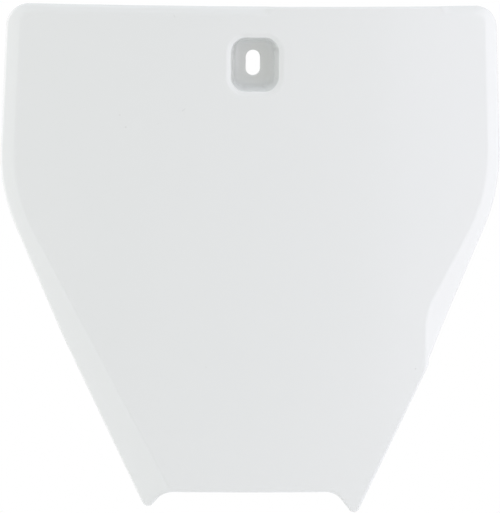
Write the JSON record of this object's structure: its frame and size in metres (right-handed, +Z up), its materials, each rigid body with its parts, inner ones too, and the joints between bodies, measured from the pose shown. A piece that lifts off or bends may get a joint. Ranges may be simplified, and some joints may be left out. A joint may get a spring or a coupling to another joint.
{
  "type": "racing number board",
  "caption": "Blank front number board for an off-road motorbike: a thin arched plate with a folded edge band, two toes and a slotted screw pocket near its top edge.",
  "frame": {"origin": "middle of the screw slot, on the back of the pocket floor where the board seats on its bracket", "axes": "upright as on the motorbike: +Z up, the front of the board faces -Y, +X to the right as seen from the front"},
  "size_m": [0.2449, 0.0224, 0.2482],
  "materials": {
    "board_plastic": "glossy white moulded plastic, plain and unprinted"
  },
  "bodies": {
    "root": {"number_board": "board_plastic"}
  },
  "joints": []
}
